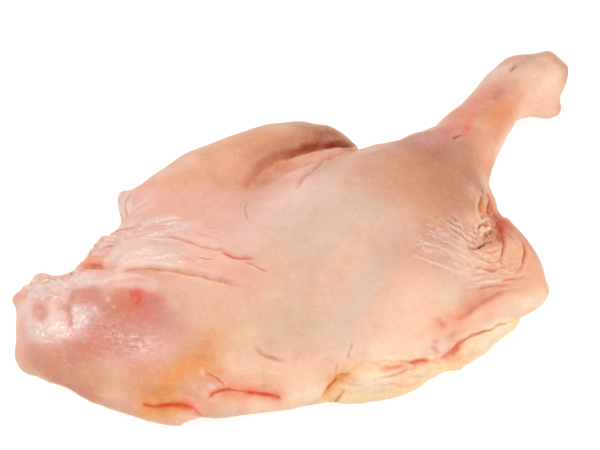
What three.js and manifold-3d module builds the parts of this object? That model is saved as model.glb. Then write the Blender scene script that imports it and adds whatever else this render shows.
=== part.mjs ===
// A raw goose leg: thigh and drumstick in one piece, lying on its cut side with the skin up.
// Millimetres. +X runs from the cut thigh to the hock, +Z is up, and the leg rests on z = 0.
// The form is a field that is negative inside the meat: a domed sheet of skin and fat, with the
// muscles as chains of balls that melt into it, and folds and cuts pressed into its upper side.
import * as THREE from "three";
import { mergeVertices } from "three/addons/utils/BufferGeometryUtils.js";
import Module from "manifold-3d";

// Driving dimensions
const EDGE_HEIGHT = 13; // thickness of the sheet just inside its edge
const EDGE_ROUND = 7; // radius of the sheet's rounded edge
const DOME_RISE = 16; // how much the middle of the sheet swells above that
const DOME_REACH = 24; // distance from the edge over which it swells
const SINK = 2; // how far the form reaches below the table before it is cut flat
const SWELL = 0.35; // height of the low swells all over the meat
const SWELL_LENGTH = 36; // distance from one swell to the next
const TABLE = [400, 300, 40]; // block below the leg that cuts it flat

// Edge of the sheet in plan, x and y, anticlockwise from the far corner of the cut thigh
const SHEET_EDGE = [
  [-106, 28], [-110, 18], [-116, 6], [-115, -4], [-102, -23], [-88, -41],
  [-77, -50], [-58, -56], [-33, -67], [-18, -75], [-5, -79], [18, -81],
  [47, -78], [53, -74], [67, -72], [73, -64], [76, -54], [77, -44],
  [75, -33], [73, -21], [72, 5], [50, 10], [39, 19], [40, 33], [25, 48],
  [-6, 57], [-39, 55], [-54, 53], [-57, 46], [-71, 38], [-83, 30], [-95, 33],
];

// Muscles: plan x and y, height of the skin above the table, and radius
const DRUMSTICK = [
  [133, 19, 26.5, 10.5],
  [122, 21.5, 28, 13],
  [110, 18, 26, 11],
  [97, 11, 27, 11.5],
  [77, -0.5, 31.5, 14.3],
  [55, -6, 38.5, 19.5],
  [26, -13, 42, 24],
  [0, -17, 38, 23],
];
const THIGH = [
  [0, -17, 34, 22],
  [-33, -9, 29, 19],
  [-66, 2, 25, 16],
  [-96, 11, 18, 11],
];
const LOBE = [
  [-44, 41, 22, 11],
  [-20, 40, 29, 16],
  [7, 35, 31, 16],
  [29, 30, 27, 12],
];
const HEEL = [
  [120, 13, 17, 7.5],
  [127.5, 10, 15, 7],
];
const THIGH_BLEND = 24;
const DRUMSTICK_BLEND = 22;
const LOBE_BLEND = 9;
const HEEL_BLEND = 6;

// Folds and cuts in the upper side: depth (negative stands proud), half width and line in plan
const FOLDS = [
  // crease between lobe and calf, the lip on its near side and a softer crease beside that
  { depth: 6, width: 4.2, line: [[42, 25], [26, 21], [2, 23], [-18, 21]] },
  { depth: -1.6, width: 3.4, line: [[38, 17], [14, 16], [-2, 16]] },
  { depth: 1.8, width: 3, line: [[33, 16], [16, 11], [0, 8]] },
  // pocket at the lobe's end and torn lip on the far edge of the thigh
  { depth: 4, width: 3, line: [[-52, 53], [-54, 45], [-57, 37]] },
  { depth: 3, width: 2.8, line: [[-86, 27], [-80, 18], [-74, 10]] },
  // two long creases across the thigh
  { depth: 2.4, width: 2.6, line: [[-71, 6], [-56, -8], [-37, -26]] },
  { depth: 2.4, width: 2.6, line: [[-58, 16], [-40, -6], [-28, -23]] },
  // two slits with the roll of skin outside them, and a short arc, near the edge of the thigh
  { depth: 4, width: 2.5, line: [[-91, -35], [-83, -42], [-73, -48], [-70, -55]] },
  { depth: 4, width: 2.5, line: [[-71, -48], [-57, -51], [-42, -60]] },
  { depth: -1.5, width: 2.4, line: [[-91, -39], [-81, -47], [-67, -53], [-57, -56], [-40, -64]] },
  { depth: 2, width: 2.2, line: [[-46, -42], [-44, -48], [-37, -55]] },
  // edge of the skin above the fringe of fat, with two notches across the fringe
  { depth: 3.6, width: 3, line: [[-32, -71], [-23, -68], [-14, -68], [4, -76], [26, -77], [52, -76]] },
  { depth: 3, width: 2.6, line: [[-27, -67], [-22, -72], [-20, -80]] },
  { depth: 3, width: 2.6, line: [[23, -73], [18, -78], [15, -86]] },
  // pocket where the skin gathers behind the knee, and the pleats that fan out from it
  { depth: 4, width: 2.8, line: [[44, -50], [53, -47], [63, -43]] },
  { depth: -1.6, width: 2.4, line: [[20, -42], [34, -51], [44, -58]] },
  { depth: -1.6, width: 2.4, line: [[23, -38], [35, -44], [47, -52]] },
  { depth: -1.6, width: 2.4, line: [[36, -31], [47, -40], [54, -45]] },
  { depth: 3, width: 2.4, line: [[70, -33], [62, -49], [57, -57]] },
  { depth: 2.4, width: 2.4, line: [[71, -51], [65, -58], [59, -63]] },
  { depth: 2, width: 2.2, line: [[40, -54], [49, -58], [57, -58]] },
  { depth: 2, width: 2.2, line: [[45, -62], [55, -65], [65, -67]] },
  { depth: 2.4, width: 2.6, line: [[25, -69], [36, -66], [47, -68], [62, -71]] },
  // fold in the shank's skin and dent in the knuckle
  { depth: 1.4, width: 3, line: [[63, -9], [70, -6], [79, -4]] },
  { depth: 1.6, width: 3, line: [[114, 21], [120, 22], [126, 22]] },
];
const FOLD_FLOOR = 3; // height at which the folds begin
const FOLD_FADE = 5; // height over which they reach their depth
const FOLD_TAPER = 0.25; // share of a fold's length over which it dies away at each end

// Bands of the grid that the surface is drawn on: from, to and spacing
const GRID_X = [[-128, -94, 3.8], [-94, -24, 2.8], [-24, 40, 3.8], [40, 80, 2.3], [80, 150, 3.5]];
const GRID_Y = [[-92, -38, 2.4], [-38, 20, 3.2], [20, 70, 4]];
const GRID_Z = [[-6, 50, 3.3]];

const mix = (a, b, t) => a + (b - a) * t;
const clamp01 = (t) => Math.min(1, Math.max(0, t));

// The lower of two fields, rounded over a width where they meet
function melt(a, b, width) {
  const share = clamp01(0.5 + (0.5 * (b - a)) / width);
  return mix(b, a, share) - width * share * (1 - share);
}

// Distance from a point to a chain of balls
function chainField(chain, x, y, z) {
  let nearest = Infinity;
  for (let i = 0; i + 1 < chain.length; i++) {
    const [ax, ay, aTop, aRadius] = chain[i];
    const [bx, by, bTop, bRadius] = chain[i + 1];
    const az = aTop - aRadius;
    const [dx, dy, dz] = [bx - ax, by - ay, bTop - bRadius - az];
    const [px, py, pz] = [x - ax, y - ay, z - az];
    const t = clamp01((px * dx + py * dy + pz * dz) / (dx * dx + dy * dy + dz * dz));
    const gap = Math.sqrt((px - t * dx) ** 2 + (py - t * dy) ** 2 + (pz - t * dz) ** 2);
    nearest = Math.min(nearest, gap - mix(aRadius, bRadius, t));
  }
  return nearest;
}

// The sheet

const EDGE_STEPS = 180;
const planCurve = (points, closed) =>
  new THREE.CatmullRomCurve3(points.map(([x, y]) => new THREE.Vector3(x, y, 0)), closed);
const edgePoints = planCurve(SHEET_EDGE, true).getPoints(EDGE_STEPS).slice(0, EDGE_STEPS);

// Distance in plan to the sheet's edge, negative inside it, and a smoothed depth inside that edge
function edgeMeasures(x, y) {
  let nearest = Infinity;
  let inside = false;
  let pull = 0;
  for (let i = 0; i < EDGE_STEPS; i++) {
    const a = edgePoints[i];
    const b = edgePoints[(i + 1) % EDGE_STEPS];
    const [dx, dy] = [b.x - a.x, b.y - a.y];
    const [px, py] = [x - a.x, y - a.y];
    const t = clamp01((px * dx + py * dy) / (dx * dx + dy * dy));
    nearest = Math.min(nearest, Math.hypot(px - t * dx, py - t * dy));
    const fromMiddle = Math.max(Math.hypot(px - dx / 2, py - dy / 2), 1);
    pull += Math.hypot(dx, dy) / fromMiddle ** 3;
    if (a.y > y !== b.y > y && px < (py / dy) * dx) inside = !inside;
  }
  return { distance: inside ? -nearest : nearest, depth: Math.sqrt(2 / pull) };
}

// The field along the upright line at x, y, as a function of z
function legColumn(x, y) {
  const { distance, depth } = edgeMeasures(x, y);
  const sheetTop = EDGE_HEIGHT + DOME_RISE * (1 - Math.exp(-depth / DOME_REACH));
  const across = distance + EDGE_ROUND;
  const turn = (2 * Math.PI) / SWELL_LENGTH;
  const swell = SWELL * Math.sin(x * turn + Math.sin(y * turn)) * Math.cos(y * turn);
  return (z) => {
    const upright = Math.max(z - sheetTop, -SINK - z) + EDGE_ROUND;
    const outside = Math.hypot(Math.max(across, 0), Math.max(upright, 0));
    let field = Math.min(Math.max(across, upright), 0) + outside - EDGE_ROUND;
    field = melt(field, chainField(THIGH, x, y, z), THIGH_BLEND);
    field = melt(field, chainField(DRUMSTICK, x, y, z), DRUMSTICK_BLEND);
    field = melt(field, chainField(LOBE, x, y, z), LOBE_BLEND);
    field = melt(field, chainField(HEEL, x, y, z), HEEL_BLEND);
    return Math.max(field + swell, -2 * SINK - z);
  };
}

// The surface

// Places of the grid's planes along one axis
function gridPlanes(bands) {
  const planes = [];
  for (const [from, to, spacing] of bands) {
    const steps = Math.round((to - from) / spacing);
    for (let i = 0; i < steps; i++) planes.push(mix(from, to, i / steps));
  }
  planes.push(bands.at(-1)[1]);
  return planes;
}

// One vertex in each grid cell that the surface crosses, and a square across each grid edge it crosses
function drawSurface(column) {
  const planes = [GRID_X, GRID_Y, GRID_Z].map(gridPlanes);
  const [nx, ny, nz] = planes.map((axis) => axis.length);
  const strides = [1, nx, nx * ny];
  const cellAt = (i, j, k) => i + j * strides[1] + k * strides[2];
  const values = new Float64Array(nx * ny * nz);
  for (let j = 0; j < ny; j++)
    for (let i = 0; i < nx; i++) {
      const field = column(planes[0][i], planes[1][j]);
      for (let k = 0; k < nz; k++) values[cellAt(i, j, k)] = field(planes[2][k]);
    }

  const corners = [0, 1, 2, 3, 4, 5, 6, 7].map((c) => [c & 1, (c >> 1) & 1, (c >> 2) & 1]);
  const cornerPairs = corners.flatMap((_, a) =>
    [1, 2, 4].filter((bit) => !(a & bit)).map((bit) => [a, a | bit]),
  );
  const positions = [];
  const triangles = [];
  const vertexOf = new Map();
  for (let k = 0; k + 1 < nz; k++)
    for (let j = 0; j + 1 < ny; j++)
      for (let i = 0; i + 1 < nx; i++) {
        const cell = cellAt(i, j, k);
        const corner = corners.map(([a, b, c]) => values[cell + cellAt(a, b, c)]);
        const crossed = cornerPairs.filter(([a, b]) => corner[a] < 0 !== corner[b] < 0);
        if (!crossed.length) continue;
        const place = [0, 0, 0];
        for (const [a, b] of crossed) {
          const t = corner[a] / (corner[a] - corner[b]);
          place.forEach((_, axis) => {
            place[axis] += mix(corners[a][axis], corners[b][axis], t) / crossed.length;
          });
        }
        vertexOf.set(cell, positions.length / 3);
        [i, j, k].forEach((step, axis) => {
          positions.push(mix(planes[axis][step], planes[axis][step + 1], place[axis]));
        });
        strides.forEach((stride, axis) => {
          const inside = values[cell] < 0;
          if (inside === values[cell + stride] < 0) return;
          const [u, v] = [strides[(axis + 1) % 3], strides[(axis + 2) % 3]];
          const ring = [cell - u - v, cell - v, cell, cell - u].map((c) => vertexOf.get(c));
          if (!inside) ring.reverse();
          triangles.push(ring[0], ring[1], ring[2], ring[0], ring[2], ring[3]);
        });
      }
  return new THREE.BufferGeometry()
    .setAttribute("position", new THREE.Float32BufferAttribute(positions, 3))
    .setIndex(triangles);
}

// The folds

const FOLD_STEPS = 24;
const foldPoints = FOLDS.map(({ line }) => planCurve(line, false).getPoints(FOLD_STEPS));

// How far the folds press the skin in at x, y
function foldDepth(x, y) {
  let pressed = 0;
  FOLDS.forEach(({ depth, width }, fold) => {
    let nearest = Infinity;
    let step = 0;
    foldPoints[fold].forEach((point, i) => {
      const gap = Math.hypot(x - point.x, y - point.y);
      if (gap >= nearest) return;
      nearest = gap;
      step = i;
    });
    const fromEnd = Math.min(step, FOLD_STEPS - step) / FOLD_STEPS;
    const strength = Math.min(1, fromEnd / FOLD_TAPER);
    pressed += depth * strength * Math.exp(-((nearest / width) ** 2));
  });
  return pressed;
}

// The surface with its folds, each vertex moved along its normal
function pressFolds(surface) {
  surface.computeVertexNormals();
  const { position, normal } = surface.attributes;
  const place = new THREE.Vector3();
  const out = new THREE.Vector3();
  for (let i = 0; i < position.count; i++) {
    place.fromBufferAttribute(position, i);
    out.fromBufferAttribute(normal, i);
    const raised = clamp01((place.z - FOLD_FLOOR) / FOLD_FADE);
    place.addScaledVector(out, -raised * foldDepth(place.x, place.y));
    position.setXYZ(i, place.x, place.y, place.z);
  }
  return surface;
}

// Assembly

const wasm = await Module();
wasm.setup();

function solidOf(geometry) {
  return new wasm.Manifold(
    new wasm.Mesh({
      numProp: 3,
      vertProperties: new Float32Array(geometry.attributes.position.array),
      triVerts: new Uint32Array(geometry.index.array),
    }),
  );
}

// The block with its top at z = 0
function tableBlock() {
  const box = new THREE.BoxGeometry(...TABLE).translate(0, 0, -TABLE[2] / 2);
  box.deleteAttribute("normal");
  box.deleteAttribute("uv");
  return mergeVertices(box);
}

const uncut = pressFolds(drawSurface(legColumn));
const cut = solidOf(uncut).subtract(solidOf(tableBlock())).getMesh();
const geometry = new THREE.BufferGeometry()
  .setAttribute("position", new THREE.BufferAttribute(cut.vertProperties, 3))
  .setIndex(new THREE.BufferAttribute(cut.triVerts, 1));
geometry.computeVertexNormals();
geometry.computeBoundingBox();

// The origin is on the table, below the middle of the leg
const middle = geometry.boundingBox.getCenter(new THREE.Vector3());
const skin = new THREE.MeshStandardMaterial({ color: 0xe9bfa6, roughness: 0.45, metalness: 0 });
const leg = new THREE.Mesh(geometry, skin);
leg.name = "goose_leg";
leg.position.set(-middle.x, -middle.y, 0);

const group = new THREE.Group();
group.add(leg);

export default group;
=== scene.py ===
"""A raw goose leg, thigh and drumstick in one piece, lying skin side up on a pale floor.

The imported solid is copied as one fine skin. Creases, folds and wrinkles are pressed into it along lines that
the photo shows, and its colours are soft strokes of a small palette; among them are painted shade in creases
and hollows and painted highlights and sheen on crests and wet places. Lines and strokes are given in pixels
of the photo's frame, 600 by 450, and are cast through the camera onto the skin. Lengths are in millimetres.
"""
import math
from dataclasses import dataclass

import bmesh
import bpy
import numpy as np
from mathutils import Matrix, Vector, noise
from mathutils.bvhtree import BVHTree


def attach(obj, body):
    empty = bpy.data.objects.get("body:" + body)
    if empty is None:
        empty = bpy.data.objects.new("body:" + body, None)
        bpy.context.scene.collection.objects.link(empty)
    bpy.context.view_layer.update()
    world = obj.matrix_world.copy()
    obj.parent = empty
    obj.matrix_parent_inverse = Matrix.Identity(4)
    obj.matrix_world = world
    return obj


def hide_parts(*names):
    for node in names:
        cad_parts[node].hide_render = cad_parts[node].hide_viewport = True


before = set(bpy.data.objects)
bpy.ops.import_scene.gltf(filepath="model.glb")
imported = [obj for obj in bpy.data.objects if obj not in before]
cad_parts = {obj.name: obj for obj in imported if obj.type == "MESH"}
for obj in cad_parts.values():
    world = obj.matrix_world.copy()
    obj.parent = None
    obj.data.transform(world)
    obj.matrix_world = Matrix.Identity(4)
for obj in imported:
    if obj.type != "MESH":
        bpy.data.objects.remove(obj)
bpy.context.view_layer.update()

MM = 0.001
PHOTO_SIZE = (600, 450)

# Camera, and the search for the skin beside a line of sight that misses it
CAMERA_AZIMUTH = math.radians(-31)
CAMERA_ELEVATION = math.radians(50)
CAMERA_LENS = 85
CAMERA_SENSOR = 36
CAMERA_DISTANCE = 552.5
CAMERA_TARGET = Vector((-12.45, 11.03, 16.7))
HALF_PIXEL = 0.5
PIXEL_ON_SKIN = CAMERA_DISTANCE * CAMERA_SENSOR / CAMERA_LENS / PHOTO_SIZE[0]
SIGHT_STARTS = (500, 620)
SIGHT_ROUNDS = 40

# Steps along a line on the skin, in mm or as a share of a stroke's radius
LINE_STEP = 0.4
WRINKLE_STEP = 0.8
STROKE_STEP = 0.25

# Mesh of the skin: faces are split above a height, beside creases and in the middle of wrinkles
VOXEL = 1.9
EVEN_ROUNDS = 5
SPLIT_ROUNDS = 2
SMOOTH_IN = 0.5
SMOOTH_OUT = -0.52
FINE_ABOVE = 0.5
FINE_BESIDE = 2.0
FINE_MIDDLE = 0.7

# Creases: their reach in widths and beyond, their uneven depth, banks, steps, stains with painted shade, and
# thin painted lines
CREASE_REACH = 5
CREASE_MARGIN = 2
SHADE_REACH = 2
CREASE_TAPER = 0.25
TAPER_POWER = 0.7
WAVER_SIZE = 3.5
UNEVEN_SIZE = 5
UNEVEN_SEED = 50
UNEVEN_MEAN = 0.9
UNEVEN_SWING = 0.6
UNEVEN_SPAN = (0.2, 1.4)
BANK_AT = 2
BANK_WIDTH = 0.9
STEP_STEEP = 1.5
STEP_REACH = 0.45
STAIN_AND_PAINTED_LIGHT_RIGHT = 0.6
SEAM_FAR = 6.0
SEAM_LINE = 0.25
SEAM_FADE = 0.6

# Wrinkles: how they fade at the ends, sway across and drift along, and how steep their ridges are
WRINKLE_TAPER = 0.15
SWAY_SIZE = 8
SWAY = 1.2
DRIFT_SIZE = 6
DRIFT = 0.3
RIDGE_STEEP = 2.5

# Lumps and strokes: their reach in radii, a stroke's edge on its free side, and how ragged it is
LUMP_REACH = 2.2
STROKE_REACH = 2
STROKE_EDGE = 0.5
RAGGED_SIZE = 0.6
RAGGED_LEAST = 1.5
RAGGED_TINT = 0.3

# Relief against the skin around it: painted shade darkens the hollows and a painted highlight pales the crests
RELIEF_ROUNDS = 40
RELIEF_BLUR = 0.7
RELIEF_FULL = 0.6
PAINTED_HOLLOW_SHADE = np.array([0.12, 0.32, 0.42])
PAINTED_CREST_HIGHLIGHT = 0.3

# The underside, told by its normals, and its hollows
BELOW_GAIN = 1.4
BELOW_CUT = 0.2
BELOW_DEPTH = 1.5
BELOW_SIZE = 13
BELOW_RAISE = 0.2
BELOW_SEED = 604

# Broad unevenness of the surface: sizes of its lumps and their heights
SURFACE = ((22, 0.5), (7, 0.2), (2.4, 0.06))

# Seeds of the noise: how far one seed shifts it, and the first seed of each kind of mark
SEED_SHIFT = (17.3, 5.1, 9.7)
STROKE_SEED = 0
WRINKLE_SEED = 100
CREASE_SEED = 200
FINE_SEED = 300
WET_SEED = 400
DRY_SEED = 450
SURFACE_SEED = 500

# Shader of the skin
SKIN_SHADER = {
    "Subsurface Weight": 0.2,
    "Subsurface Radius": (1.0, 0.4, 0.25),
    "Subsurface Scale": 0.002,
    "IOR": 1.4,
    "Specular IOR Level": 0.2,
    "Coat Roughness": 0.14,
    "Coat IOR": 2.2,
}

# Noise in the skin's material: its detail, roughness and middle, and the sizes of what it makes
NOISE_DETAIL = 3
NOISE_ROUGHNESS = 0.55
NOISE_MIDDLE = 0.5
FLECK_SIZE = 1.6
STREAK_SIZE = 1.3
STREAK_LENGTH = 9.0
STREAK_ANGLE = math.radians(-40)
PLEAT_SPACING = 1.5
PLEAT_DETAIL = 2.0
PLEAT_STEEP = 11.0
FOLLICLE_SIZE = 6.5
PORE_SIZE = 1.3
GRAIN_SIZE = 0.9
WEB_SIZE = 2.0
WEB_ROUGHNESS = 0.6
DULL_SIZE = 3

# Spans from low to high, and what some of them turn into, from start to end
FLECK_SPAN = (0.5, 0.8, 0, 0.12)
STREAK_SPAN = (0.55, 0.75, 0, 0.06)
PLEAT_HIGHLIGHT_SPAN = (0.0, 0.9, 0, 0.12)
FOLLICLE_SPAN = (0.06, 0.03)
PORE_SPAN = (0.0, 0.8, 0.05, 0.0)
WEB_SPAN = (0.36, 0.62)
MILKY_SHEEN_SPAN = (0.5, 1.0, 0, 0.32)
GLOSSY_SPAN = (0.1, 0.9)
COAT_SPAN = (0, 1, 0.3, 0.9)
ROUGH_SPAN = (0, 1, 0.52, 0.3)
DULL_SPAN = (0.3, 0.7, -0.06, 0.06)

# Mottling that darkens: size of its lumps, their detail, the span that shows, and its colour
MOTTLING = (
    (16, 3, (0.4, 0.7), (1.0, 0.95, 0.93, 1)),
    (5, 3, (0.45, 0.75), (0.97, 0.94, 0.9, 1)),
    (1.2, 2, (0.5, 0.75), (0.97, 0.92, 0.89, 1)),
)
FLECK_TINT = (1.0, 0.9, 0.84, 1)
STREAK_TINT = (1.0, 0.9, 0.8, 1)
# Painted highlight on the crests of the finest pleats
PAINTED_PLEAT_HIGHLIGHT = (1.0, 0.88, 0.8, 1)
# A pale membrane with a painted sheen where the skin is wet
MILKY_SHEEN_TINT = (1.0, 0.87, 0.84, 1)
# Thin lines along creases: a painted highlight on a ridge and painted shade in a groove
PAINTED_RIDGE_HIGHLIGHT = (1.0, 0.86, 0.74, 1)
PAINTED_SEAM_SHADE = (0.84, 0.5, 0.36, 1)
RIDGE_HIGHLIGHT_SHARE = 0.5

# Heights of the finest relief
GRAIN_HEIGHT = 0.06
WEB_HEIGHT = 0.2
STREAK_HEIGHT = 0.16
PLEAT_HEIGHT = 0.05
FOLLICLE_HEIGHT = 0.04
SEAM_DEPTH = 0.07

# Floor and lamps, in metres and watts: a lamp has a name, a place, a size and a power
FLOOR_HALF = 3.0
FLOOR_DEPTH = -0.0001
FLOOR_SHADER = {
    "Base Color": (0.3, 0.3, 0.3, 1),
    "Roughness": 0.9,
    "Emission Color": (1, 1, 1, 1),
    "Emission Strength": 0.8,
}
SKY_STRENGTH = 0.28
LAMPS = (
    ("key", (0.9, -0.8, 0.8), 0.5, 7.5),
    ("fill", (-0.2, -1.0, 0.5), 0.8, 2.2),
    ("glint", (-0.6, 0.26, 0.9), 0.45, 5),
    ("top", (-0.2, 0.02, 1.0), 0.4, 1.6),
    ("back", (0.35, 1.0, 0.45), 0.6, 2.5),
)

# Palette, as screen colours
PEACH = (233, 185, 156)
BLUSH = (235, 181, 166)
ROSE = (227, 159, 146)
PALE = (240, 205, 197)
CREAM = (250, 209, 179)
FAT = (255, 219, 170)
BUTTER = (255, 232, 198)
AMBER = (230, 146, 72)
APRICOT = (242, 181, 144)
GREY = (214, 191, 172)
SAGE = (215, 188, 155)
ASH = (212, 172, 152)
TAN = (230, 169, 132)
UMBER = (213, 147, 110)
DUSK = (213, 161, 134)
BROWN = (186, 126, 96)
RUST = (154, 74, 34)
SIENNA = (198, 104, 66)
MADDER = (205, 131, 113)
SALMON = (224, 136, 112)
SHRIMP = (240, 150, 112)
CORAL = (240, 118, 84)
MUSCLE = (224, 88, 66)
EMBER = (214, 82, 26)
FLAME = (226, 68, 22)
BLOOD = (196, 56, 26)
LILAC = (206, 150, 146)
OCHRE = (238, 156, 70)
PEARL = (240, 217, 207)


@dataclass
class Crease:
    """A groove along a line of pixels, or a ridge if its depth is negative.

    Its banks may swell by lip. The bank on the left of the line's way stands higher by step, is wider by
    slope, and the crease's colour, with its painted shade, spreads over it as far as shade.
    """

    line: list
    depth: float
    width: float
    lip: float = 0.0
    step: float = 0.0
    # The crease's colour: partly the skin's own, partly painted shade, and on a ridge a painted highlight
    stain_and_painted_light: tuple = None
    strength: float = 0.6
    shade: float = 0.0
    waver: float = 0.5
    slope: float = 1.0


@dataclass
class Stroke:
    """A soft stroke of colour along a line of pixels.

    It lies on both sides of the line, or on the left of the line's way if side is 1, or on its right if -1.
    It fades softly if edge is 2, and more suddenly if edge is larger.
    A stroke that wets or dries the skin has no colour.
    """

    line: list
    radius: float
    colour: tuple
    strength: float = 0.7
    ragged: float = 0.6
    side: int = 0
    edge: float = 2.0


@dataclass
class Wrinkles:
    """Small folds along a line of pixels, side by side and uneven.

    Their crests are sharp if sharp is 1, and the hollows between them if it is -1.
    """

    line: list
    radius: float
    spacing: float
    height: float
    stretch: float = 5.0
    sharp: float = 1.0


@dataclass
class Lump:
    """A swelling along a line of pixels, or a hollow if its height is negative."""

    line: list
    radius: float
    height: float


@dataclass
class Blotches:
    """Blotches of a colour all over the skin, or only below, from noise with lumps of a size.

    The noise is multiplied by gain, moved by shift and held between 0 and most.
    """

    colour: tuple
    size: float
    seed: int
    gain: float
    shift: float = 0.0
    most: float = 1.0
    below: bool = False


def pixels(line):
    """The pixels of a line such as "284,160 303,153"."""
    return [tuple(int(number) for number in spot.split(",")) for spot in line.split()]


def marks(kind, rows):
    """Marks of one kind, from rows of their fields in order, each with a line of pixels first."""
    return [kind(pixels(line), *values) for line, *values in rows]


BLOTCHES = [
    Blotches(BLUSH, 26, 600, 0.9),
    Blotches(CREAM, 18, 601, 0.7),
    Blotches(ROSE, 14, 602, 0.8, 0.6, 1.4, True),
    Blotches(FAT, 9, 603, 1.8, 0, 0.8, True),
    Blotches(SALMON, 7, 605, 0.7, -0.08, 0.3),
    Blotches(CREAM, 5, 606, 0.8, -0.08, 0.35),
]

# A crease's colour is partly the skin's own, such as the raw red in the slits, and partly painted shade in its
# groove and over the bank that rolls under; a ridge's pale colour is a painted highlight
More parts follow.
